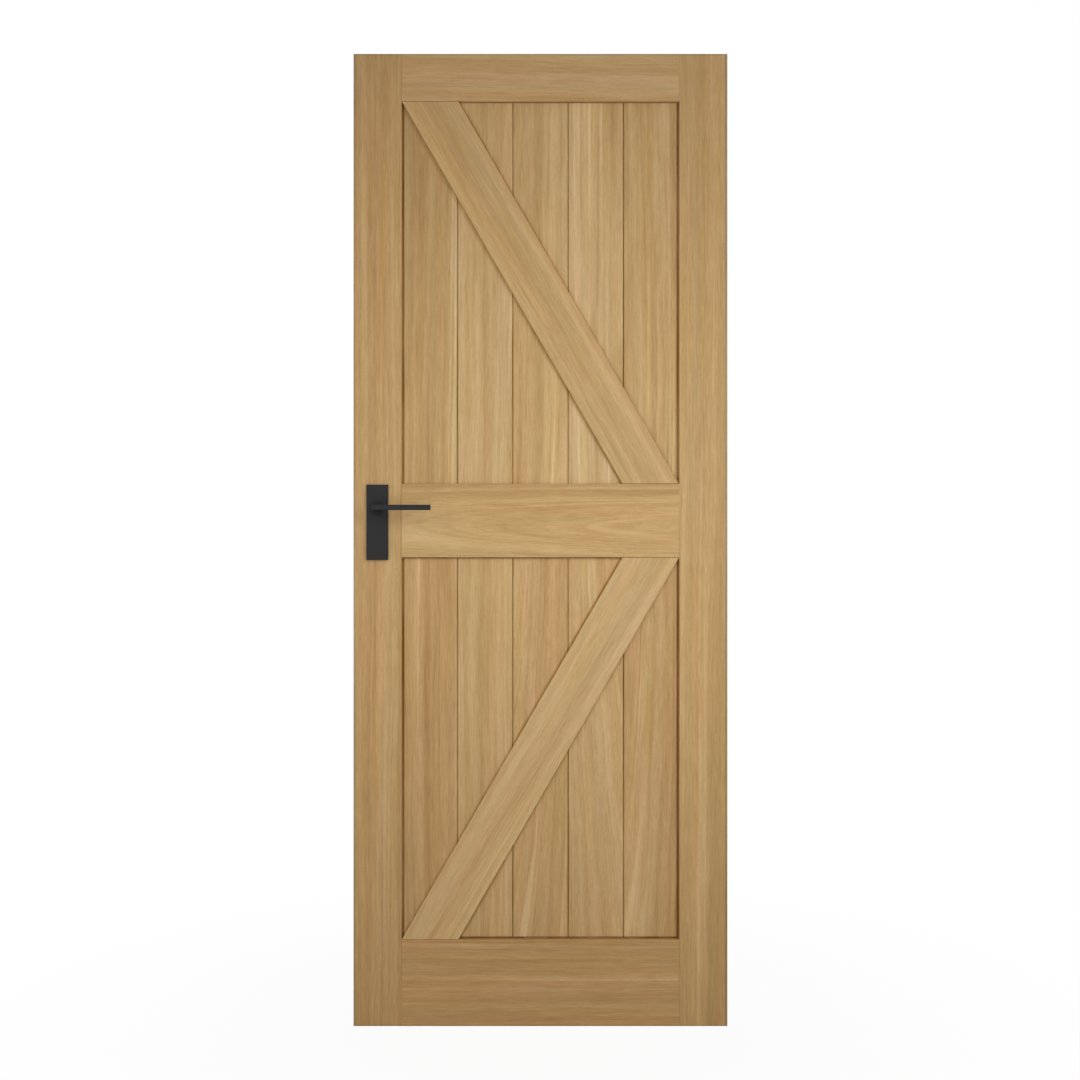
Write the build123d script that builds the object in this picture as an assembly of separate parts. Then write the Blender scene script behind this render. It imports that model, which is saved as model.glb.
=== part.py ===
from build123d import *
import math
import os

# A framed and braced oak door leaf with a black lever handle on each face.
# Two stiles and three rails are tenoned together and grooved round two openings.
# Each opening holds five tongued, grooved and V-jointed boards. A brace on each
# face of the boards runs corner to corner, and the upper and lower braces meet at
# the hinge end of the middle rail. Two levers share one square spindle through
# the lock stile.
# Units are millimetres. The origin is at the foot of the hinge edge, halfway
# through the thickness: +Z is up, -X points to the lock edge, -Y is the face
# with the lever on the left.

# Leaf
leaf_width = 762.0
leaf_height = 1981.0
leaf_thickness = 35.0

# Frame
stile_width = 98.0
top_rail_width = 96.0
middle_rail_width = 150.0
bottom_rail_width = 175.5
middle_rail_foot = 955.0
opening_arris = 1.0
edge_arris = 1.0
shoulder_arris = 0.5

# Stub tenons
tenon_thickness = 12.0
tenon_length = 30.0
tenon_end_shoulder = 24.0
tenon_split_gap = 24.0
mortice_fit = 0.1
mortice_end_gap = 2.0

# Boards
boards_per_opening = 5
board_thickness = 15.0
board_joint_gap = 1.0
v_joint_depth = 1.5
tongue_thickness = 4.0
tongue_length = 7.0
tongue_fit = 0.2
tongue_end_gap = 1.0
side_quirk = 3.4
upper_head_quirk = 1.2
lower_head_quirk = 2.1
lower_foot_quirk = 4.3
seat_fit = 0.2
lap_thickness = 6.0
panel_groove_depth = 11.0
panel_groove_fit = 0.2
panel_groove_end_gap = 2.0

# Braces
brace_width = 100.0
brace_setback = 1.0
brace_fit = 0.3
brace_arris = 1.0

# Handle set
handle_height = 1056.0
handle_backset = 49.0
backplate_width = 44.0
backplate_height = 153.0
backplate_drop = 29.5
backplate_thickness = 8.0
backplate_wall = 2.5
backplate_edge = 1.5
collar_diameter = 28.5
collar_height = 3.0
collar_edge = 0.8
bush_diameter = 24.0
bush_fit = 0.02
bush_boss_wall = 3.0
neck_diameter = 16.0
neck_fit = 0.05
neck_length = 22.0
lever_projection = 50.0
lever_length = 111.0
lever_heel = 7.2
lever_bar_height = 10.8
lever_bar_depth = 14.0
lever_bar_edge = 1.5
lever_root_inset = 1.0
lever_root_corner = 2.0
spindle_side = 8.0
spindle_fit = 0.05
spindle_hole_diameter = 18.0
socket_end_wall = 12.0
socket_end_gap = 0.5
grub_screw_diameter = 5.0
grub_screw_fit = 0.02
grub_screw_key = 2.5
grub_screw_key_depth = 2.5
grub_screw_sink = 0.6
grub_screw_seat_gap = 0.1

half_thickness = leaf_thickness / 2
half_board = board_thickness / 2
opening_left = -leaf_width + stile_width
opening_right = -stile_width
opening_width = opening_right - opening_left
middle_rail_head = middle_rail_foot + middle_rail_width
top_rail_foot = leaf_height - top_rail_width
openings = {
    "upper": (middle_rail_head, top_rail_foot),
    "lower": (bottom_rail_width, middle_rail_foot),
}
board_pitch = opening_width / boards_per_opening
panel_insert = panel_groove_depth - panel_groove_end_gap


def block(x, y, z):
    """A box between two X, two Y and two Z places."""
    corner = Pos(x[0], y[0], z[0])
    size = (x[1] - x[0], y[1] - y[0], z[1] - z[0])
    return corner * Box(*size, align=(Align.MIN, Align.MIN, Align.MIN))


def middle_slab(thickness):
    """The Y span of something centred in the leaf's thickness."""
    return (-thickness / 2, thickness / 2)


def tenon_spans(foot, head, foot_is_edge, head_is_edge):
    """Z spans of a rail's tenons: one on a narrow rail, two on a wide one."""
    low = foot + (tenon_end_shoulder if foot_is_edge else panel_groove_depth)
    high = head - (tenon_end_shoulder if head_is_edge else panel_groove_depth)
    if high - low < 4 * tenon_split_gap:
        return [(low, high)]
    middle = (low + high) / 2
    return [
        (low, middle - tenon_split_gap / 2),
        (middle + tenon_split_gap / 2, high),
    ]


rails = {
    "top_rail": (top_rail_foot, leaf_height),
    "middle_rail": (middle_rail_foot, middle_rail_head),
    "bottom_rail": (0.0, bottom_rail_width),
}
tenons = {
    "top_rail": tenon_spans(*rails["top_rail"], False, True),
    "middle_rail": tenon_spans(*rails["middle_rail"], False, False),
    "bottom_rail": tenon_spans(*rails["bottom_rail"], True, False),
}


def opening_bevels():
    """Mitred bevels round both openings, on both faces, to cut from the frame."""
    cutters = []
    middle = (opening_left + opening_right) / 2
    for low, high in openings.values():
        for side in (-1, 1):
            rim = Plane(
                origin=(middle, side * (half_thickness - opening_arris), (low + high) / 2),
                x_dir=(1, 0, 0),
                z_dir=(0, side, 0),
            )
            mouth = rim * Rectangle(opening_width, high - low)
            cutters.append(extrude(mouth, amount=2 * opening_arris, taper=-45))
    return cutters


def spindle_hole():
    """The round hole through the lock stile that the spindle passes through."""
    hole = Plane(origin=(-leaf_width + handle_backset, half_thickness, handle_height), z_dir=(0, -1, 0))
    return extrude(hole * Circle(spindle_hole_diameter / 2), amount=leaf_thickness)


def stile(outer, inner):
    """A stile between its outer edge and the edge that faces the openings."""
    inward = 1 if inner > outer else -1
    x = (min(outer, inner), max(outer, inner))
    body = block(x, middle_slab(leaf_thickness), (0, leaf_height))
    long_arrises = [
        edge
        for edge in body.edges().filter_by(Axis.Z)
        if abs(edge.center().X - outer) < edge_arris
    ]
    body = chamfer(long_arrises, edge_arris)

    groove = middle_slab(lap_thickness + 2 * panel_groove_fit)
    groove_x = sorted((inner, inner - inward * panel_groove_depth))
    for low, high in openings.values():
        body -= block(groove_x, groove, (low - panel_groove_depth, high + panel_groove_depth))

    mortice = middle_slab(tenon_thickness + 2 * mortice_fit)
    mortice_x = sorted((inner, inner - inward * (tenon_length + mortice_end_gap)))
    for spans in tenons.values():
        for low, high in spans:
            body -= block(mortice_x, mortice, (low - mortice_fit, high + mortice_fit))
    return body


def rail(name):
    """A rail between its shoulders, with tenons at both ends and a groove for the boards."""
    foot, head = rails[name]
    body = block((opening_left, opening_right), middle_slab(leaf_thickness), (foot, head))
    body = chamfer(body.edges().filter_by(Axis.Z), shoulder_arris)
    for low, high in tenons[name]:
        tenon_x = (opening_left - tenon_length, opening_right + tenon_length)
        body += block(tenon_x, middle_slab(tenon_thickness), (low, high))
    groove = middle_slab(lap_thickness + 2 * panel_groove_fit)
    for low, high in openings.values():
        if foot == high:
            body -= block((opening_left, opening_right), groove, (foot, foot + panel_groove_depth))
        if head == low:
            body -= block((opening_left, opening_right), groove, (head - panel_groove_depth, head))
    return body


def left_edge(line, in_stile):
    """Front half of a board's left edge, from its middle plane out to its face."""
    if in_stile:
        root = line + side_quirk
        return [
            (line - panel_insert, 0),
            (line - panel_insert, lap_thickness / 2),
            (root, lap_thickness / 2),
            (root, half_board - v_joint_depth),
            (root + v_joint_depth, half_board),
        ]
    root = line + board_joint_gap / 2
    groove_half = tongue_thickness / 2 + tongue_fit
    return [
        (line + tongue_length + tongue_end_gap, 0),
        (line + tongue_length + tongue_end_gap, groove_half),
        (root, groove_half),
        (root, half_board - v_joint_depth),
        (root + v_joint_depth, half_board),
    ]


def right_edge(line, in_stile):
    """Front half of a board's right edge, from its face in to its middle plane."""
    if in_stile:
        root = line - side_quirk
        return [
            (root - v_joint_depth, half_board),
            (root, half_board - v_joint_depth),
            (root, lap_thickness / 2),
            (line + panel_insert, lap_thickness / 2),
            (line + panel_insert, 0),
        ]
    root = line - board_joint_gap / 2
    return [
        (root - v_joint_depth, half_board),
        (root, half_board - v_joint_depth),
        (root, tongue_thickness / 2),
        (line + tongue_length, tongue_thickness / 2),
        (line + tongue_length, 0),
    ]


def board(number, low, high, foot_quirk, head_quirk):
    """One board: grooved on its left, tongued on its right, and lapped into the frame's grooves."""
    left_line = opening_left + (number - 1) * board_pitch
    half = left_edge(left_line, number == 1)
    half += right_edge(left_line + board_pitch, number == boards_per_opening)
    back = [(x, -y) for x, y in reversed(half) if y > 0]
    outline = make_face(Polyline(*half, *back, close=True))
    span = (low - panel_insert, high + panel_insert)
    stock = Pos(0, 0, span[0]) * extrude(outline, amount=span[1] - span[0])
    row = (opening_left - panel_insert, opening_right + panel_insert)
    lap = block(row, middle_slab(lap_thickness), span)
    full = block(row, middle_slab(board_thickness), (low + foot_quirk, high - head_quirk))
    return stock & (lap + full)


def brace_end_width(height):
    """Level width of a brace's end where a stock of brace_width runs corner to corner."""
    across = opening_width - 2 * brace_fit
    diagonal = math.sqrt(height**2 + across**2 - brace_width**2)
    return brace_width * (height * diagonal - across * brace_width) / (height**2 - brace_width**2)


def brace(low, high, falls_to_hinge):
    """A brace on the front of the boards, its ends cut level to the rails."""
    foot = low + brace_fit
    head = high - brace_fit
    end = brace_end_width(head - foot)
    left = opening_left + brace_fit
    right = opening_right - brace_fit
    corners = [(left, head), (left + end, head), (right, foot), (right - end, foot)]
    if not falls_to_hinge:
        corners = [(x, head + foot - z) for x, z in corners]
    face = make_face(Polyline(*[(x, -half_board, z) for x, z in corners], close=True))
    thickness = half_thickness - half_board - brace_setback
    body = extrude(face, amount=thickness, dir=(0, -1, 0))
    return chamfer(body.faces().sort_by(Axis.Y)[0].edges(), brace_arris)


def mirrored(shape):
    """The same piece on the other face of the leaf."""
    return mirror(shape, about=Plane.XZ)


handle = Plane(
    origin=(-leaf_width + handle_backset, -half_thickness, handle_height),
    x_dir=(1, 0, 0),
    z_dir=(0, -1, 0),
)


def disc(radius, low, high):
    """A round slug about the lever's axis, between two heights over the leaf's face."""
    return extrude(handle.offset(low) * Circle(radius), amount=high - low)


def backplate():
    """The hollow cast backplate, with a boss round its bush hole."""
    centre = Pos(0, -backplate_drop)
    outline = Rectangle(backplate_width, backplate_height)
    pocket = Rectangle(backplate_width - 2 * backplate_wall, backplate_height - 2 * backplate_wall)
    body = extrude(handle * (centre * outline), amount=backplate_thickness)
    body = chamfer(body.faces().sort_by(Axis.Y)[0].edges(), backplate_edge)
    body -= extrude(handle * (centre * pocket), amount=backplate_thickness - backplate_wall)
    bush_radius = bush_diameter / 2
    body += disc(bush_radius + bush_boss_wall, 0, backplate_thickness - backplate_wall)
    return body - disc(bush_radius, 0, backplate_thickness)


def collar():
    """The flanged bush that the lever's neck turns in."""
    flange_top = backplate_thickness + collar_height
    flange = disc(collar_diameter / 2, backplate_thickness, flange_top)
    flange = chamfer(flange.edges().sort_by(Axis.Y)[0], collar_edge)
    bush = disc(bush_diameter / 2 - bush_fit, 0, backplate_thickness)
    return flange + bush - disc(neck_diameter / 2 + neck_fit, 0, flange_top)


bar_back = lever_projection - lever_bar_depth
socket_depth = bar_back - socket_end_wall
grub_screw_height = (backplate_thickness + collar_height + neck_length) / 2
grub_screw_length = (neck_diameter - spindle_side) / 2 - grub_screw_sink - grub_screw_seat_gap


def grub_screw_plane():
    """Across the grub screw's outer end, on the underside of the neck, looking up at the spindle."""
    depth = neck_diameter / 2 - grub_screw_sink
    place = handle.from_local_coords(Vector(0, -depth, grub_screw_height))
    return Plane(origin=place, x_dir=(1, 0, 0), z_dir=(0, 0, 1))


def lever():
    """A lever: round neck, drawn out to a flat bar that points along the middle rail."""
    bar_middle = Pos((lever_length - lever_heel) / 2, 0)
    bar_side = bar_middle * Rectangle(lever_length + lever_heel, lever_bar_height)
    bar = extrude(handle.offset(bar_back) * bar_side, amount=lever_bar_depth)
    bar = fillet(bar.edges(), lever_bar_edge)
    neck = disc(neck_diameter / 2, spindle_fit, neck_length)
    root = RectangleRounded(
        neck_diameter - 2 * lever_root_inset,
        lever_bar_height - 2 * lever_root_inset,
        lever_root_corner,
    )
    reach = bar_back + lever_bar_edge
    shoulder = loft([handle.offset(neck_length) * Circle(neck_diameter / 2), handle.offset(reach) * root])
    socket_side = spindle_side + 2 * spindle_fit
    socket = extrude(handle * Rectangle(socket_side, socket_side), amount=socket_depth)
    screw_hole = extrude(
        grub_screw_plane().offset(-2 * grub_screw_sink) * Circle(grub_screw_diameter / 2),
        amount=neck_diameter / 2,
    )
    return bar + neck + shoulder - socket - screw_hole


def grub_screw():
    """The socket screw under the neck that grips the spindle."""
    seat = grub_screw_plane()
    body = extrude(seat * Circle(grub_screw_diameter / 2 - grub_screw_fit), amount=grub_screw_length)
    key_radius = grub_screw_key / math.sqrt(3)
    return body - extrude(seat * RegularPolygon(key_radius, 6), amount=grub_screw_key_depth)


def spindle():
    """The square bar that joins the two levers."""
    reach = socket_depth - socket_end_gap
    start = handle.offset(reach)
    return extrude(start * Rectangle(spindle_side, spindle_side), amount=-(leaf_thickness + 2 * reach))


def build_frame():
    """Stiles and rails, with the opening bevels and the spindle hole cut through them."""
    pieces = {
        "lock_stile": stile(-leaf_width, opening_left) - spindle_hole(),
        "hinge_stile": stile(0.0, opening_right),
    }
    for name in rails:
        pieces[name] = rail(name)
    for name in pieces:
        for cutter in opening_bevels():
            pieces[name] -= cutter
    return pieces


def build_panels():
    """The boards: the upper row sits down on the middle rail, and the other ends stand clear."""
    quirks = {
        "upper": (seat_fit, upper_head_quirk),
        "lower": (lower_foot_quirk, lower_head_quirk),
    }
    pieces = {}
    for place, opening in openings.items():
        for number in range(1, boards_per_opening + 1):
            pieces[f"{place}_board_{number}"] = board(number, *opening, *quirks[place])
    return pieces


def build_braces():
    """A brace in each opening, on each face."""
    pieces = {}
    for place, (low, high) in openings.items():
        front = brace(low, high, place == "upper")
        pieces[f"{place}_brace_front"] = front
        pieces[f"{place}_brace_back"] = mirrored(front)
    return pieces


def build_handles():
    """The lever set: both faces are alike and share the spindle."""
    pieces = {"spindle": spindle()}
    for name, front in {
        "backplate": backplate(),
        "collar": collar(),
        "lever": lever(),
        "grub_screw": grub_screw(),
    }.items():
        pieces[f"{name}_front"] = front
        pieces[f"{name}_back"] = mirrored(front)
    return pieces


def main():
    os.makedirs("parts", exist_ok=True)
    parts = {**build_frame(), **build_panels(), **build_braces(), **build_handles()}
    for name, shape in parts.items():
        export_step(shape, f"parts/{name}.step")


main()
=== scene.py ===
"""The oak barn door leaf, dressed for its picture: oak by the piece, matt black handles, and the studio.

Lengths are in metres.
"""

import math
from typing import NamedTuple

import bpy
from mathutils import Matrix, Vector


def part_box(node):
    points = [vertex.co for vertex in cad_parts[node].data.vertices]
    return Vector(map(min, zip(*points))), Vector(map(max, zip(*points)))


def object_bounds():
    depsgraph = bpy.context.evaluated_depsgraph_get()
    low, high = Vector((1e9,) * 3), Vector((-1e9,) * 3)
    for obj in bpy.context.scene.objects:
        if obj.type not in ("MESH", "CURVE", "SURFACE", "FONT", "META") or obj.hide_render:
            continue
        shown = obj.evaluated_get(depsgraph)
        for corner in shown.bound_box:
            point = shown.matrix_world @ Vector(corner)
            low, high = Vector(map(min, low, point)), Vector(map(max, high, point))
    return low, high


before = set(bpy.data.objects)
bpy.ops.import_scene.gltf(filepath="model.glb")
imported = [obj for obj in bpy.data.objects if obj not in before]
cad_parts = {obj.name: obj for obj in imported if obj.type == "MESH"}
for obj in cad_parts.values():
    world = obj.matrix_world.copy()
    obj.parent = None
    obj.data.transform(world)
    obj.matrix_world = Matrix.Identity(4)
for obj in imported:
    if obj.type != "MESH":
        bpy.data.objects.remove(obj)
cad_low, cad_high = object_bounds()

bpy.context.scene.view_settings.view_transform = "Standard"
bpy.ops.object.select_all(action="DESELECT")

leaf_width = cad_high.x - cad_low.x
leaf_height = cad_high.z - cad_low.z
leaf_middle = Vector(((cad_low.x + cad_high.x) / 2, 0.0, (cad_low.z + cad_high.z) / 2))
leaf_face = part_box("hinge_stile")[0].y


def middle_of(node):
    low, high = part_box(node)
    return (low + high) / 2


# Camera, level with the middle of the leaf and square to its face

photo_size = 1080
leaf_height_in_photo = 972.1
leaf_middle_right_of_photo_middle = 0.45
camera_distance = 3.0
camera_sensor = 36.0
camera_sees_to = 60.0


def set_camera():
    """The photograph's view: straight at the leaf, which fills nine tenths of its height."""
    metres_per_pixel = leaf_height / leaf_height_in_photo
    view_width = photo_size * metres_per_pixel
    lens = bpy.data.cameras.new("camera")
    lens.sensor_width = camera_sensor
    lens.lens = camera_sensor * camera_distance / view_width
    lens.clip_end = camera_sees_to
    camera = bpy.data.objects.new("camera", lens)
    camera.location = (
        leaf_middle.x - leaf_middle_right_of_photo_middle * metres_per_pixel,
        leaf_face - camera_distance,
        leaf_middle.z,
    )
    camera.rotation_euler = (math.radians(90), 0, 0)
    bpy.context.collection.objects.link(camera)
    bpy.context.scene.camera = camera


# Node graphs

mid_noise = 0.5
usual_noise = (0.3, 0.7)


class Graph:
    """A node tree, with short calls that add a node, join its inputs and hand on its output."""

    # The sockets that a Mix node uses for colours
    first_colour = 6
    second_colour = 7
    mixed_colour = 2

    def __init__(self, tree):
        self.tree = tree
        self.tree.nodes.clear()

    def add(self, kind, settings=None, **inputs):
        node = self.tree.nodes.new(kind)
        for key, value in (settings or {}).items():
            setattr(node, key, value)
        for key, value in inputs.items():
            self.put(node.inputs[key.replace("_", " ")], value)
        return node

    def put(self, socket, value):
        if isinstance(value, bpy.types.NodeSocket):
            self.tree.links.new(value, socket)
        else:
            socket.default_value = value

    def math(self, operation, *values):
        node = self.tree.nodes.new("ShaderNodeMath")
        node.operation = operation
        for socket, value in zip(node.inputs, values):
            self.put(socket, value)
        return node.outputs[0]

    def away(self, value, centre):
        """How far a value is from a centre, to either side."""
        return self.math("ABSOLUTE", self.math("SUBTRACT", value, centre))

    def place(self):
        """A point's place in the object, in metres."""
        return self.add("ShaderNodeTexCoord").outputs["Object"]

    def vector(self, x, y, z):
        return self.add("ShaderNodeCombineXYZ", X=x, Y=y, Z=z).outputs[0]

    def parts(self, vector):
        return self.add("ShaderNodeSeparateXYZ", Vector=vector).outputs

    def scaled(self, vector, scale):
        return self.add(
            "ShaderNodeVectorMath", {"operation": "SCALE"}, Vector=vector, Scale=scale
        ).outputs[0]

    def stretched(self, vector, scales):
        return self.add("ShaderNodeMapping", Vector=vector, Scale=scales).outputs[0]

    def turned_frame(self, vector, centre, turns):
        """The vector as seen from a frame that has its own centre and turns."""
        return self.add(
            "ShaderNodeMapping",
            {"vector_type": "TEXTURE"},
            Vector=vector,
            Location=centre,
            Rotation=turns,
        ).outputs[0]

    def noise(self, vector, detail, roughness=0.5):
        """Noise with cells of 1, mostly within usual_noise."""
        return self.add(
            "ShaderNodeTexNoise", Vector=vector, Scale=1.0, Detail=detail, Roughness=roughness
        ).outputs[0]

    def swing(self, vector, detail):
        """Noise about zero."""
        return self.math("SUBTRACT", self.noise(vector, detail), mid_noise)

    def level(self, value, low, high, floor=0.0, ceiling=1.0):
        """Maps a value from low..high to floor..ceiling, held at both ends."""
        node = self.tree.nodes.new("ShaderNodeMapRange")
        names = ("Value", "From Min", "From Max", "To Min", "To Max")
        for name, setting in zip(names, (value, low, high, floor, ceiling)):
            self.put(node.inputs[name], setting)
        return node.outputs[0]

    def fade(self, value, full, gone):
        """1 up to where the value is full, falling to 0 where it is gone."""
        return self.level(value, full, gone, 1.0, 0.0)

    def ramp(self, value, stops):
        node = self.tree.nodes.new("ShaderNodeValToRGB")
        self.put(node.inputs[0], value)
        elements = node.color_ramp.elements
        for place, colour in stops[1:-1]:
            elements.new(place).color = (*colour, 1.0)
        elements[0].position, elements[-1].position = stops[0][0], stops[-1][0]
        elements[0].color = (*stops[0][1], 1.0)
        elements[-1].color = (*stops[-1][1], 1.0)
        return node.outputs[0]

    def blend(self, factor, first, second, mode="MIX"):
        """Lays the second colour over the first. A colour is a socket or three shares of light."""
        node = self.tree.nodes.new("ShaderNodeMix")
        node.data_type = "RGBA"
        node.blend_type = mode
        self.put(node.inputs[0], factor)
        for socket, colour in ((self.first_colour, first), (self.second_colour, second)):
            self.put(node.inputs[socket], (*colour, 1.0) if isinstance(colour, tuple) else colour)
        return node.outputs[self.mixed_colour]

    def tint(self, colour, cast):
        """The colour under a cast, which takes away its own share of each light."""
        return self.blend(1.0, colour, cast, "MULTIPLY")

    def darken(self, factor, colour, shade):
        """Tints the colour with a shade where the factor is 1."""
        return self.blend(factor, colour, self.tint(colour, shade))

    def bump(self, height, strength, depth):
        return self.add("ShaderNodeBump", Strength=strength, Distance=depth, Height=height).outputs[0]

    def surface(self, **inputs):
        """The material's shader, with its inputs."""
        shader = self.add("ShaderNodeBsdfPrincipled", **inputs)
        self.add("ShaderNodeOutputMaterial", Surface=shader.outputs[0])


def new_material(name):
    material = bpy.data.materials.new(name)
    material.use_nodes = True
    return material, Graph(material.node_tree)


def linear(red, green, blue):
    """A display colour of 0 to 255 as the shares of light it stands for, by the sRGB curve."""
    return tuple(
        ((c / 255 + 0.055) / 1.055) ** 2.4 if c > 10 else c / 255 / 12.92 for c in (red, green, blue)
    )


# Painted shade in the joints round the boards, by how far a spot lies off the leaf's middle plane

# Painted shade: this colour darkens the joints' recesses and the brace feet, where shade falls
painted_shade_colour = linear(210, 184, 88)
shade_patches_a_metre = (17.0, 0.0, 4.5)
joint_floor = 0.0034
joint_top = 0.0048
rim_floor = 0.0060
rim_top = 0.0076
rim_patches = (0.45, 0.75)
openings_reach = 0.30  # from the leaf's middle to a little past the openings' sides
openings_margin = 0.02
openings_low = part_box("lower_board_1")[0].z - openings_margin
openings_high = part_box("upper_board_1")[1].z + openings_margin


def joint_painted_shade(g, spot, patch):
    """1 where shade is painted: patchy deep in the joints, and in fewer patches up to their rims."""
    off_plane = g.math("ABSOLUTE", spot[1])
    deep = g.math("MULTIPLY", g.fade(off_plane, joint_floor, joint_top), g.level(patch, *usual_noise))
    rim = g.math("MULTIPLY", g.fade(off_plane, rim_floor, rim_top), g.level(patch, *rim_patches))
    painted_shade = g.math("MAXIMUM", deep, rim)
    within = g.math("LESS_THAN", g.away(spot[0], leaf_middle.x), openings_reach)
    painted_shade = g.math("MULTIPLY", within, painted_shade)
    painted_shade = g.math("MULTIPLY", painted_shade, g.math("GREATER_THAN", spot[2], openings_low))
    return g.math("MULTIPLY", painted_shade, g.math("LESS_THAN", spot[2], openings_high))


# Painted shadow along a brace's foot, on the boards and on the brace's own sides

brace_stock = 0.100
board_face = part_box("upper_board_1")[1].y
foot_line_full = 0.0016
foot_line_reach = 0.0052
foot_line_rise = 0.0050
foot_line_near = 0.10
foot_line_far = 0.85
foot_line_thinnest = 0.6


def brace_turn(node):
    """A brace's angle from upright, by its box and its stock. The upper ones lean to the lock side."""
    low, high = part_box(node)
    width = high.x - low.x
    height = high.z - low.z
    corner_to_corner = math.atan2(width, height)
    stock_between = math.asin(brace_stock / math.hypot(width, height))
    fall = math.degrees(corner_to_corner - stock_between)
    return -fall if node.startswith("upper") else fall


def brace_foot_shadow(g, place, spot, node):
    """1 in the painted shadow along a brace's foot.

    On the brace's lock side it is full by the middle rail, and on its other side by the far rail.
    """
    turns = (0.0, math.radians(brace_turn(node)), 0.0)
    across = g.parts(g.turned_frame(place, middle_of(node), turns))[0]
    beyond = g.math("SUBTRACT", g.math("ABSOLUTE", across), brace_stock / 2)
    line = g.fade(beyond, foot_line_full, foot_line_reach)
    above = g.math("SUBTRACT", g.math("ABSOLUTE", spot[1]), board_face)
    line = g.math("MULTIPLY", line, g.fade(above, 0.0, foot_line_rise))
    # Like a cast shadow, the painted line moves from one side of the brace to the other with height
    far = g.level(g.away(spot[2], leaf_middle.z), foot_line_near, foot_line_far)
    on_lock_side = g.math("LESS_THAN", across, 0.0)
    return g.math("MULTIPLY", line, g.away(on_lock_side, far))


# Darker along the leaf's outer arrises, in from its sides and half as far from its head and foot

edge_shade = linear(206, 208, 212)
edge_full = 0.0005
edge_reach = 0.0075
edge_turn = 0.004
end_narrowing = 2.0


def outer_edge(g, spot):
    """1 at the leaf's outer arrises, fading across a few millimetres of the face and of the edge."""
    from_side = g.math("SUBTRACT", leaf_width / 2, g.away(spot[0], leaf_middle.x))
    from_end = g.math("SUBTRACT", leaf_height / 2, g.away(spot[2], leaf_middle.z))
    nearest = g.math("MINIMUM", from_side, g.math("MULTIPLY", from_end, end_narrowing))
    on_face = g.level(g.math("ABSOLUTE", spot[1]), -leaf_face - edge_turn, -leaf_face)
    return g.math("MULTIPLY", g.fade(nearest, edge_full, edge_reach), on_face)


def paint_shade_and_edges(g, place, colour, brace):
    """Paints shade into the oak's joints and, where a brace is named, shadow along that brace's foot, and
    darkens its outer arrises.
    """
    spot = g.parts(place)
    patch = g.noise(g.stretched(place, shade_patches_a_metre), detail=1.0)
    painted_shade = joint_painted_shade(g, spot, patch)
    if brace:
        thinning = g.level(patch, *usual_noise, foot_line_thinnest, 1.0)
        foot = g.math("MULTIPLY", brace_foot_shadow(g, place, spot, brace), thinning)
        painted_shade = g.math("MAXIMUM", painted_shade, foot)
    # Painted shade in the joints and painted shadow along the brace's foot
    colour = g.darken(painted_shade, colour, painted_shade_colour)
    return g.darken(outer_edge(g, spot), colour, edge_shade)


# The log that a piece is cut from

ring_drift = 0.024
ring_ripple = 0.0012
rings_a_metre = 360.0
crowding_by_band = 3.0


class Cut(NamedTuple):
    """How a piece is cut from its log, and how that log looks.

    A pith close behind the face gives arched figure, and a far one straight grain.
    """

    behind: float  # metres from the piece's middle back to the pith
    aside: float  # metres from the piece's middle across to the pith
    lean: tuple  # degrees that the log leans out of the face and across it
    log: float  # which log, and so where its bands and streaks fall
    tone: float  # lighter when higher
    warmth: float  # redder when higher
    gold: float  # yellower when higher
    figure: float  # contrast of the bands and streaks


class Log:
    """The log in a piece's graph: u and v run across it, w along it, and radius out to the ring."""

    def __init__(self, g, place, pith, turn, cut):
        lean_out, lean_across = cut.lean
        turns = (math.radians(lean_out), math.radians(turn + lean_across), 0.0)
        self.g = g
        self.number = cut.log
        self.u, self.v, self.w = g.parts(g.turned_frame(place, pith, turns))
        self.radius = self.wandering_radius()

    def wandering_radius(self):
        """How far out a spot grew: its distance from the pith, with rings that drift and ripple."""
        g = self.g
        drift = g.math("MULTIPLY", g.swing(self.along(across=5.0, length=1.1), detail=2.0), ring_drift)
        ripple = g.math("MULTIPLY", g.swing(self.along(across=40.0, length=4.0), detail=1.0), ring_ripple)
        from_pith = g.add(
            "ShaderNodeVectorMath", {"operation": "LENGTH"}, Vector=g.vector(self.u, self.v, 0.0)
        ).outputs["Value"]
        return g.math("ADD", g.math("ADD", from_pith, drift), ripple)

    def along(self, across, length, offset=0.0):
        """A place for noise along the fibres: how many cells a metre holds across and along them.

        An offset keeps one field of noise apart from another.
        """
        g = self.g
        return g.vector(
            g.math("MULTIPLY_ADD", self.u, across, self.number + offset),
            g.math("MULTIPLY", self.v, across),
            g.math("MULTIPLY", self.w, length),
        )

    def growth(self, out, length, side, offset, detail):
        """Noise about zero that follows the rings: its cells a metre going out, along and sideways."""
        g = self.g
        in_rings = g.vector(
            g.math("MULTIPLY_ADD", self.radius, out, self.number + offset),
            g.math("MULTIPLY_ADD", self.w, length, offset),
            g.math("MULTIPLY", self.u, side),
        )
        return g.swing(in_rings, detail)

    def rings(self, bands):
        """Each year's ring from 0 in spring to 1, with more of them in some bands than in others."""
        crowding = self.g.math("MULTIPLY", bands, crowding_by_band)
        return self.g.math("FRACT", self.g.math("MULTIPLY_ADD", self.radius, rings_a_metre, crowding))


# How strongly each mark of the grain shades the oak, from dark at 0 to pale at 1

plain_shade = 0.44
band_strength = 0.49
streak_strength = 0.58
dab_strength = 0.32
pale_vein_strength = 0.18
pale_vein_span = (0.12, 0.26)
pale_vein_by_band = 0.7
dark_vein_strength = -0.12
dark_vein_span = (-0.24, -0.12)
fleck_strength = 0.34
fibre_strength = 0.27
late_wood_strength = 0.06
late_wood_curve = 0.6


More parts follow.
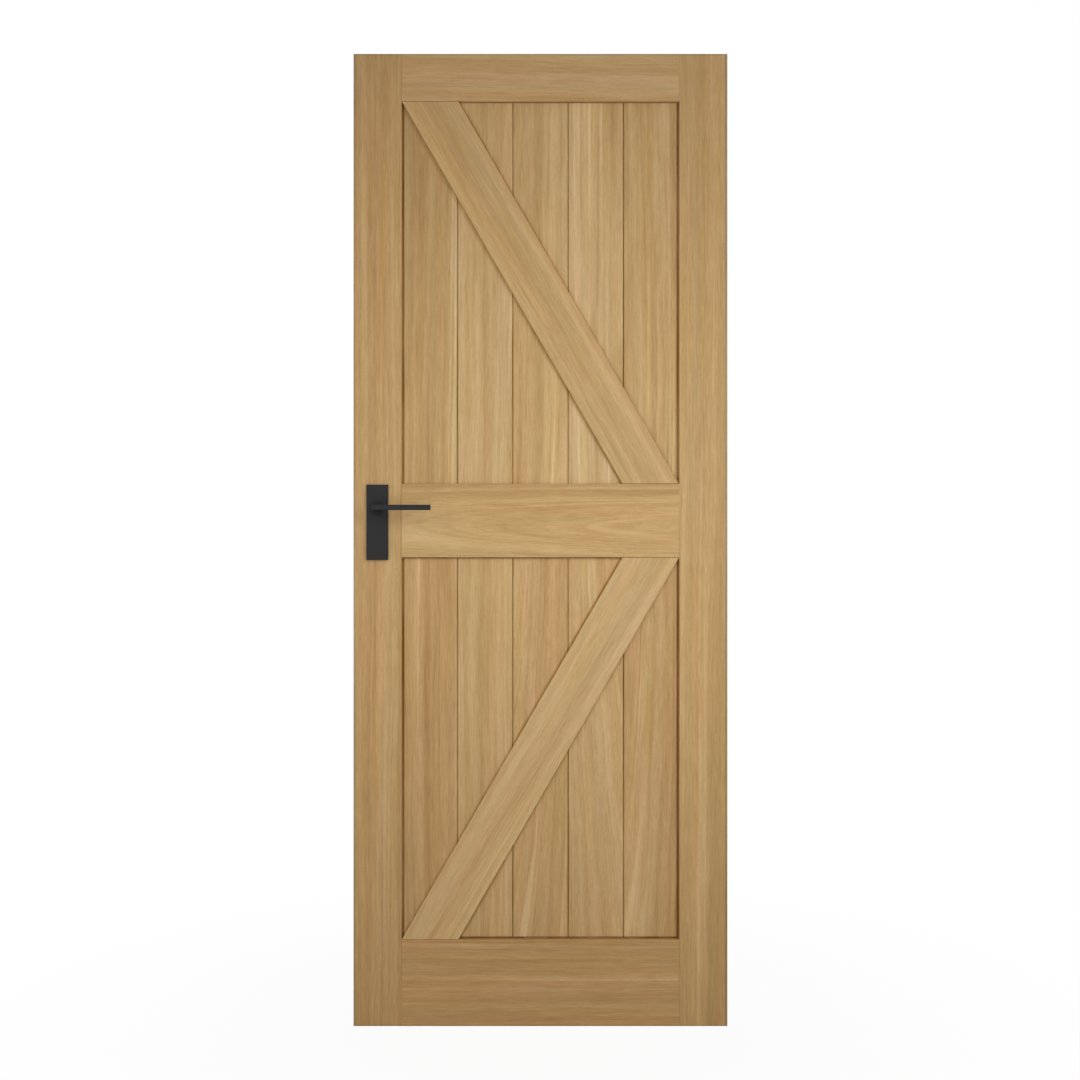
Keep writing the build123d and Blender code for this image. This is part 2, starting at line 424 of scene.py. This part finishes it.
def grain_shade(g, log, cut, bands, rings, fibres):
    """Bands, long streaks and short dabs, pale and dark veins, flecks, fibres and late wood."""
    streaks = log.growth(out=95.0, length=0.8, side=4.0, offset=11.0, detail=2.0)
    dabs = log.growth(out=120.0, length=6.5, side=9.0, offset=23.0, detail=2.0)
    pale_field = log.growth(out=170.0, length=0.9, side=6.0, offset=37.0, detail=1.0)
    pale_field = g.math("MULTIPLY_ADD", bands, pale_vein_by_band, pale_field)
    dark_field = log.growth(out=210.0, length=1.3, side=7.0, offset=51.0, detail=1.0)
    flecks = g.swing(log.along(across=330.0, length=24.0, offset=5.0), detail=1.0)
    shade = plain_shade + cut.tone
    for mark, strength in (
        (bands, band_strength * cut.figure),
        (streaks, streak_strength * cut.figure),
        (dabs, dab_strength * cut.figure),
        (g.level(pale_field, *pale_vein_span), pale_vein_strength * cut.figure),
        (g.fade(dark_field, *dark_vein_span), dark_vein_strength * cut.figure),
        (flecks, fleck_strength),
        (g.math("SUBTRACT", fibres, mid_noise), fibre_strength),
        (g.math("POWER", rings, late_wood_curve), late_wood_strength),
    ):
        shade = g.math("MULTIPLY_ADD", mark, strength, shade)
    return shade


# Oak, its tones and its casts, and its planed and lacquered surface

dark_streak = linear(152, 117, 68)
middle_tone = linear(192, 157, 110)
light_streak = linear(225, 193, 150)
warm_cast = linear(255, 246, 240)
cool_cast = linear(250, 255, 251)
gold_cast = linear(255, 253, 239)
no_cast = linear(255, 255, 255)
redness_span = (0.32, 0.68)
redness_swing = 0.35
yellowness_swing = 0.5
open_pore = linear(150, 112, 66)
pore_strength = 0.45
pore_span = (0.58, 0.68)
early_wood_span = (0.15, 0.7)
late_wood_pores = 0.25
oak_roughness = (0.62, 0.50)
oak_gloss = 0.25
oak_bump = 0.35
oak_depth = 0.0003
fibre_height = 0.3


def open_pores(g, log, rings):
    """1 in the open pores, which are thick in early wood and thin in late wood."""
    field = g.noise(log.along(across=2300.0, length=95.0), detail=1.0)
    early_wood = g.level(rings, *early_wood_span, 1.0, late_wood_pores)
    return g.math("MULTIPLY", g.level(field, *pore_span), early_wood)


def cast_over(g, log, cut, colour):
    """Redder and yellower stretches, each about two fingers wide and an arm long."""
    redness = g.noise(log.along(across=30.0, length=1.0, offset=2.0), detail=1.0)
    swings = (cut.warmth - redness_swing, cut.warmth + redness_swing)
    redness = g.level(redness, *redness_span, *swings)
    colour = g.tint(colour, g.blend(redness, cool_cast, warm_cast))
    yellowness = g.noise(log.along(across=45.0, length=1.5, offset=7.0), detail=1.0)
    swings = (cut.gold - yellowness_swing, cut.gold + yellowness_swing)
    yellowness = g.level(yellowness, *usual_noise, *swings)
    return g.tint(colour, g.blend(yellowness, no_cast, gold_cast))


def oak(name, turn, pith, cut, brace):
    """Oak for one piece.

    turn is the grain's angle from upright in degrees, and pith a place on the log's centre line.
    brace names a brace whose foot's painted shadow darkens the piece.
    """
    material, g = new_material(name)
    place = g.place()
    log = Log(g, place, pith, turn, cut)
    bands = log.growth(out=26.0, length=0.45, side=2.0, offset=3.0, detail=1.0)
    rings = log.rings(bands)
    fibres = g.noise(log.along(across=1300.0, length=26.0), detail=2.0, roughness=0.6)
    pores = open_pores(g, log, rings)
    shade = grain_shade(g, log, cut, bands, rings, fibres)
    colour = g.ramp(shade, [(0.0, dark_streak), (0.5, middle_tone), (1.0, light_streak)])
    colour = cast_over(g, log, cut, colour)
    colour = g.blend(g.math("MULTIPLY", pores, pore_strength), colour, open_pore)
    # Painted shade in the joints and by the brace feet, and darker outer arrises
    colour = paint_shade_and_edges(g, place, colour, brace)
    height = g.math("SUBTRACT", g.math("MULTIPLY", fibres, fibre_height), pores)
    g.surface(
        Base_Color=colour,
        Roughness=g.level(shade, 0.0, 1.0, *oak_roughness),
        Specular_IOR_Level=oak_gloss,
        Normal=g.bump(height, oak_bump, oak_depth),
    )
    return material


# Handles: powder coat on the plates and levers, darker nylon on the collars that is partly painted shade
# under the levers, zinc on the steel

coat_tones = (linear(37, 37, 38), linear(42, 41, 42))
# The collars' darker tones are partly painted shade from the levers above them
nylon_and_shade_tones = (linear(30, 30, 31), linear(34, 34, 35))
coat_grains_a_metre = 2200.0
coat_clouds_a_metre = 45.0
coat_roughness = (0.54, 0.64)
coat_gloss = 0.16
coat_bump = 0.25
coat_depth = 0.0001
steel_tones = (linear(168, 168, 170), linear(196, 196, 198))
steel_lines_a_metre = (900.0, 60.0, 900.0)
steel_roughness = (0.28, 0.42)


def matt_black(name, tones):
    """A matt black finish with a fine orange-peel grain and faint clouds between two tones."""
    material, g = new_material(name)
    place = g.place()
    grain = g.noise(g.scaled(place, coat_grains_a_metre), detail=2.0)
    cloud = g.noise(g.scaled(place, coat_clouds_a_metre), detail=3.0)
    g.surface(
        Base_Color=g.ramp(cloud, list(zip(usual_noise, tones))),
        Roughness=g.level(cloud, *usual_noise, *coat_roughness),
        Specular_IOR_Level=coat_gloss,
        Normal=g.bump(grain, coat_bump, coat_depth),
    )
    return material


def plated_steel():
    """Drawn bar and screws, bright zinc plate."""
    material, g = new_material("plated_steel")
    brushed = g.noise(g.stretched(g.place(), steel_lines_a_metre), detail=3.0)
    g.surface(
        Base_Color=g.ramp(brushed, list(zip(usual_noise, steel_tones))),
        Roughness=g.level(brushed, *usual_noise, *steel_roughness),
        Metallic=1.0,
    )
    return material


# Each piece of oak is cut from a log of its own

upright = 0.0
crosswise = 90.0

# The columns are behind, aside, lean, log, tone, warmth, gold and figure
stiles = {
    "lock_stile": Cut(0.05, -0.16, (0.3, 0.2), 383.8, 0.035, 0.6, 0.55, 0.9),
    "hinge_stile": Cut(0.05, 0.18, (-0.3, 0.2), 110.6, -0.04, 0.5, 0.65, 0.75),
}
rails = {
    "top_rail": Cut(0.06, -0.12, (0.3, 1.0), 255.1, 0.12, 0.6, 0.25, 0.8),
    "middle_rail": Cut(0.045, 0.008, (2.1, 0.4), 157.8, 0.045, 0.4, 1.1, 1.1),
    "bottom_rail": Cut(0.07, 0.16, (0.6, -0.3), 248.0, -0.035, 0.7, 0.55, 0.95),
}
boards = {
    "upper_board_1": Cut(0.06, -0.08, (0.4, 0.1), 207.6, -0.035, 0.35, 0.6, 1.1),
    "upper_board_2": Cut(0.07, 0.08, (-0.5, 0.3), 345.3, 0.095, 0.25, 0.65, 0.9),
    "upper_board_3": Cut(0.06, -0.08, (0.8, -0.2), 374.1, 0.105, 0.35, 0.85, 1.2),
    "upper_board_4": Cut(0.06, 0.09, (0.3, 0.1), 340.8, 0.16, 0.25, 0.45, 1.25),
    "upper_board_5": Cut(0.06, -0.09, (-0.4, 0.2), 424.0, 0.05, 0.4, 0.7, 1.4),
    "lower_board_1": Cut(0.07, 0.07, (0.3, 0.1), 452.8, 0.03, 0.7, 0.6, 1.1),
    "lower_board_2": Cut(0.08, -0.08, (0.2, -0.1), 349.6, 0.145, 0.4, 0.6, 0.95),
    "lower_board_3": Cut(0.04, -0.07, (4.0, 0.3), 448.4, 0.055, 0.55, 0.5, 1.0),
    "lower_board_4": Cut(0.04, 0.07, (4.2, -0.5), 321.8, 0.145, 0.45, 0.5, 0.95),
    "lower_board_5": Cut(0.04, -0.08, (3.6, 0.2), 498.3, 0.05, 0.6, 0.55, 1.3),
}
braces = {
    "upper_brace": Cut(0.06, 0.12, (0.4, 0.3), 284.7, 0.025, 0.35, 0.6, 0.85),
    "lower_brace": Cut(0.06, -0.12, (0.5, 0.2), 252.3, 0.14, 0.4, 0.65, 0.75),
}


def dress(node, material):
    """Gives a CAD node its finish."""
    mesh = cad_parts[node].data
    mesh.materials.clear()
    mesh.materials.append(material)


def dress_oak(node, turn, cut, brace=None):
    """Oak for one piece, with its pith behind and to the side of the piece's own middle."""
    centre = middle_of(node)
    angle = math.radians(turn)
    pith = (
        centre.x + cut.aside * math.cos(angle),
        centre.y + cut.behind,
        centre.z - cut.aside * math.sin(angle),
    )
    dress(node, oak(f"oak_{node}", turn, pith, cut, brace))


def dress_leaf():
    """Stiles and boards upright, rails across, and each back brace cut as the mirror of the front one."""
    for node, cut in stiles.items():
        dress_oak(node, upright, cut)
    for node, cut in rails.items():
        dress_oak(node, crosswise, cut)
    for node, cut in boards.items():
        opening = node.split("_")[0]
        dress_oak(node, upright, cut, f"{opening}_brace_front")
    for name, cut in braces.items():
        front, back = f"{name}_front", f"{name}_back"
        dress_oak(front, brace_turn(front), cut, front)
        dress_oak(back, brace_turn(back), cut._replace(behind=-cut.behind), back)


def dress_handles():
    coat = matt_black("black_coat", coat_tones)
    # The collars' darker finish is partly painted shade
    nylon_and_shade = matt_black("black_nylon_and_shade", nylon_and_shade_tones)
    steel = plated_steel()
    for side in ("front", "back"):
        dress(f"backplate_{side}", coat)
        dress(f"collar_{side}", nylon_and_shade)
        dress(f"lever_{side}", coat)
        dress(f"grub_screw_{side}", steel)
    dress("spindle", steel)


# Floor and world

floor_size = 24.0
floor_grey = (0.6, 0.6, 0.6, 1.0)
white = (1.0, 1.0, 1.0, 1.0)
shadow_reach = 0.4
white_reach = 1.3
shadow_white = 0.94
world_light = 0.36


def background_ray(g):
    """1 for rays that should meet a white background: the camera's, and those in gloss or glass."""
    rays = g.add("ShaderNodeLightPath").outputs
    seen = g.math("MAXIMUM", rays["Is Camera Ray"], rays["Is Glossy Ray"])
    return g.math("MAXIMUM", seen, rays["Is Transmission Ray"])


def studio_floor():
    """A plain pale floor that keeps the leaf's shadow and turns white away from it."""
    bpy.ops.mesh.primitive_plane_add(size=floor_size, location=(0.0, 0.0, 0.0))
    floor = bpy.context.active_object
    floor.name = "floor"
    material, g = new_material("pale_floor")
    from_leaf = g.add("ShaderNodeVectorMath", {"operation": "DISTANCE"}, Vector=g.place())
    from_leaf.inputs[1].default_value = (leaf_middle.x, 0.0, 0.0)
    whiteness = g.level(from_leaf.outputs["Value"], shadow_reach, white_reach, shadow_white, 1.0)
    matt = g.add("ShaderNodeBsdfDiffuse", Color=floor_grey).outputs[0]
    glow = g.add("ShaderNodeEmission", Color=white, Strength=1.0).outputs[0]
    mix = g.add("ShaderNodeMixShader")
    g.put(mix.inputs[0], g.math("MULTIPLY", background_ray(g), whiteness))
    g.put(mix.inputs[1], matt)
    g.put(mix.inputs[2], glow)
    g.add("ShaderNodeOutputMaterial", Surface=mix.outputs[0])
    floor.data.materials.append(material)


def set_world():
    """Even white light, and a white background to the camera and in reflections."""
    world = bpy.data.worlds.new("studio")
    bpy.context.scene.world = world
    world.use_nodes = True
    g = Graph(world.node_tree)
    strength = g.level(background_ray(g), 0.0, 1.0, world_light, 1.0)
    sky = g.add("ShaderNodeBackground", Color=white, Strength=strength)
    g.add("ShaderNodeOutputWorld", Surface=sky.outputs[0])


# Lamps, with their widths and heights

face_lamp_distance = 0.95
face_lamp_height = 1.15
face_lamp_size = (2.4, 1.2)
face_lamp_watts = 9.4
key_lamp_distance = 3.2
key_lamp_swing = math.radians(42)
key_lamp_height = 2.0
key_lamp_size = (0.7, 1.4)
key_lamp_watts = 18.0
edge_lamp_distance = 2.4
edge_lamp_height = 2.3
edge_lamp_size = (0.9, 0.9)
edge_lamp_watts = 7.0


def soft_lamp(name, place, size, watts):
    """A soft box that faces the middle of the leaf."""
    lamp = bpy.data.lights.new(name, "AREA")
    lamp.shape = "RECTANGLE"
    lamp.size, lamp.size_y = size
    lamp.energy = watts
    box = bpy.data.objects.new(name, lamp)
    box.location = place
    aim = leaf_middle - Vector(place)
    box.rotation_euler = aim.to_track_quat("-Z", "Y").to_euler()
    box.visible_camera = False
    bpy.context.collection.objects.link(box)


def set_lights():
    """Before each face a wide soft box and, to its right, a key lamp; off each edge a high one."""
    key_aside = key_lamp_distance * math.sin(key_lamp_swing)
    key_before = key_lamp_distance * math.cos(key_lamp_swing)
    for name, side in (("front", -1), ("back", 1)):
        place = (leaf_middle.x, side * face_lamp_distance, face_lamp_height)
        soft_lamp(f"{name}_lamp", place, face_lamp_size, face_lamp_watts)
        place = (leaf_middle.x - side * key_aside, side * key_before, key_lamp_height)
        soft_lamp(f"{name}_key_lamp", place, key_lamp_size, key_lamp_watts)
    for name, side in (("lock_side", -1), ("hinge_side", 1)):
        place = (leaf_middle.x + side * edge_lamp_distance, 0.0, edge_lamp_height)
        soft_lamp(f"{name}_lamp", place, edge_lamp_size, edge_lamp_watts)


set_camera()
dress_leaf()
dress_handles()
studio_floor()
set_world()
set_lights()
